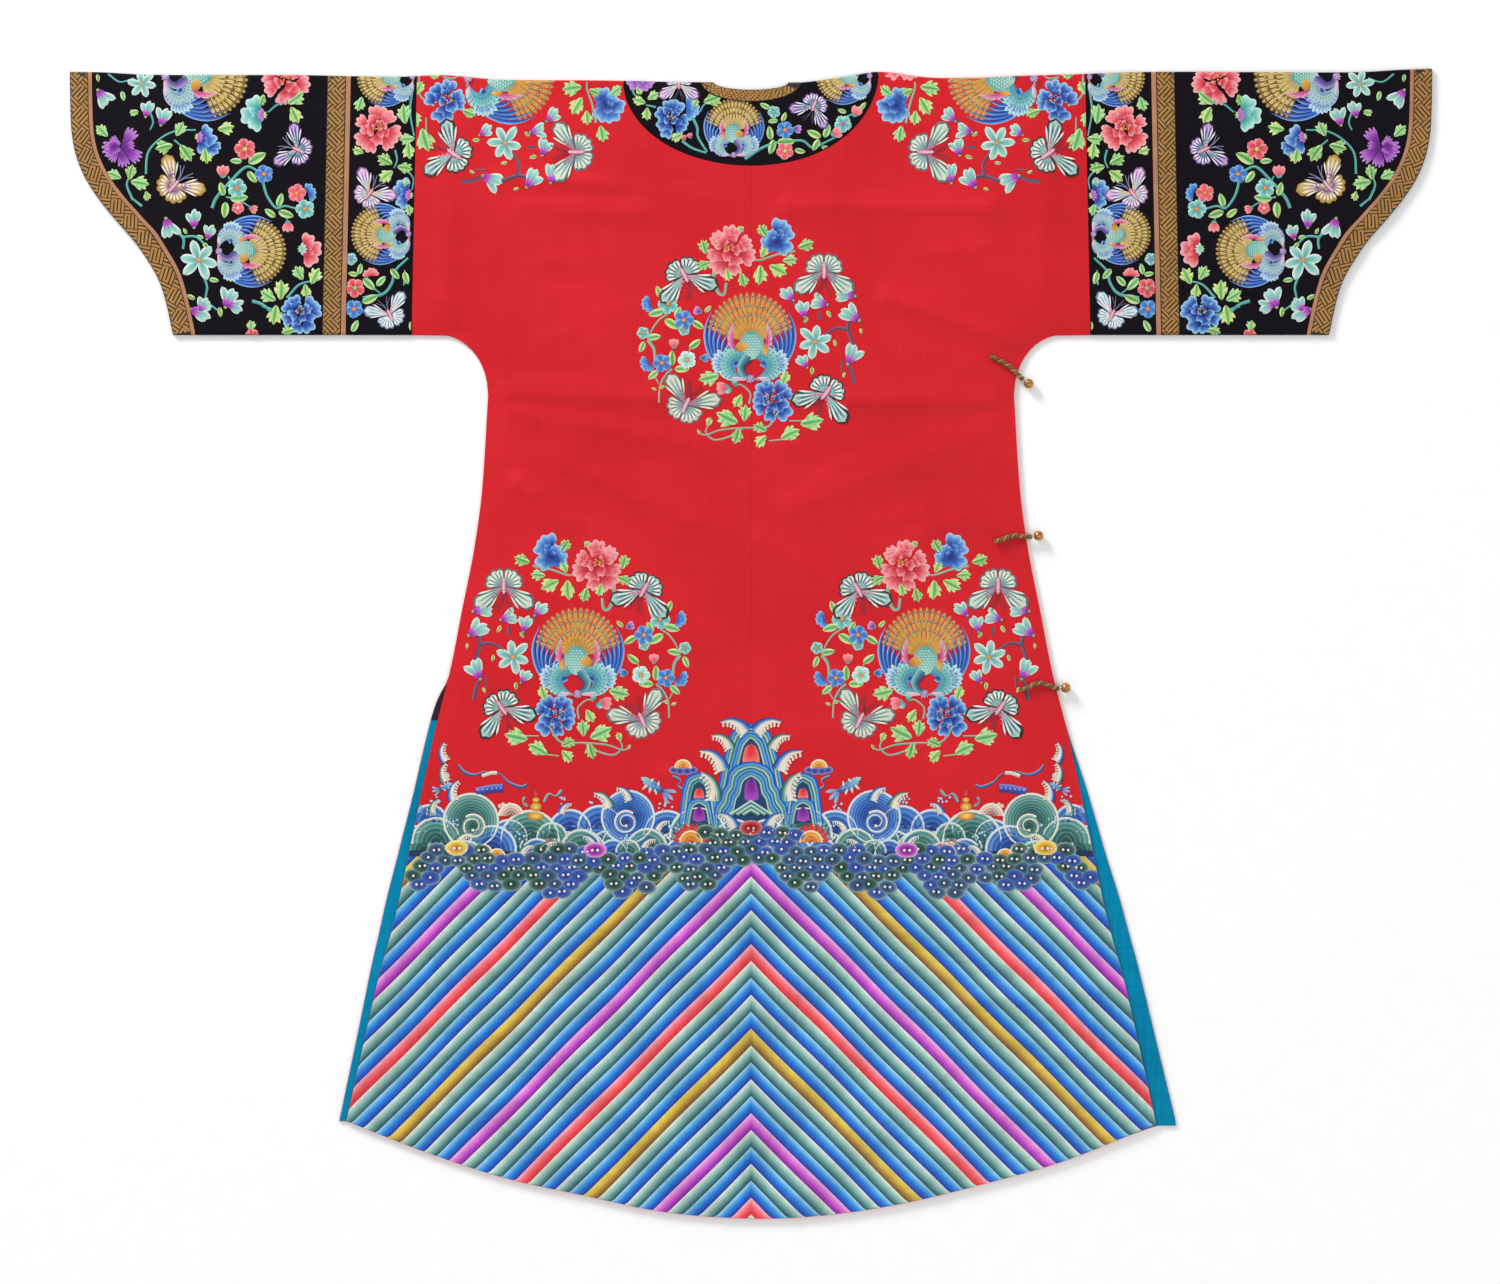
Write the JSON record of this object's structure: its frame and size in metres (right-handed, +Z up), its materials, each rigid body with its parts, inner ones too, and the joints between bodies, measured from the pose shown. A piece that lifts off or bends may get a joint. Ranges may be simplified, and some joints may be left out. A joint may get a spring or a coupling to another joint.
{
  "type": "embroidered silk robe laid flat",
  "caption": "Long T-shaped silk robe laid flat with its back up, wide flared cuffs, round collar, side slits and cord-looped ball buttons.",
  "frame": {"origin": "middle of the robe's outline, on the surface it lies on", "axes": "+X across the sleeves to the right of the view from above, +Y from hem to collar, +Z up"},
  "size_m": [1.676, 1.4156, 0.0124],
  "materials": {
    "red_silk": "plain-woven silk, soft sheen, satin-stitch embroidery",
    "black_silk": "black silk, soft sheen, satin-stitch embroidery",
    "gold_ribbon": "woven ribbon with a gold key fret on black",
    "piping": "narrow beige braid",
    "turquoise_lining": "plain silk lining, soft sheen",
    "cord": "twisted silk cord, matt",
    "brass": "worn, satin"
  },
  "bodies": {
    "root": {"body_left": "red_silk", "sleeve_band_left": "black_silk", "sleeve_piping_left": "piping", "sleeve_ribbon_left": "gold_ribbon", "cuff_left": "black_silk", "cuff_piping_left": "piping", "cuff_ribbon_left": "gold_ribbon", "slit_facing_left": "black_silk", "lining_left": "turquoise_lining", "body_right": "red_silk", "sleeve_band_right": "black_silk", "sleeve_piping_right": "piping", "sleeve_ribbon_right": "gold_ribbon", "cuff_right": "black_silk", "cuff_piping_right": "piping", "cuff_ribbon_right": "gold_ribbon", "slit_facing_right": "black_silk", "lining_right": "turquoise_lining", "overlap_front": "red_silk", "collar_yoke": "black_silk", "neck_ribbon": "gold_ribbon", "cord_loop_1": "cord", "ball_button_1": "brass", "cord_loop_2": "cord", "ball_button_2": "brass", "cord_loop_3": "cord", "ball_button_3": "brass"}
  },
  "joints": []
}
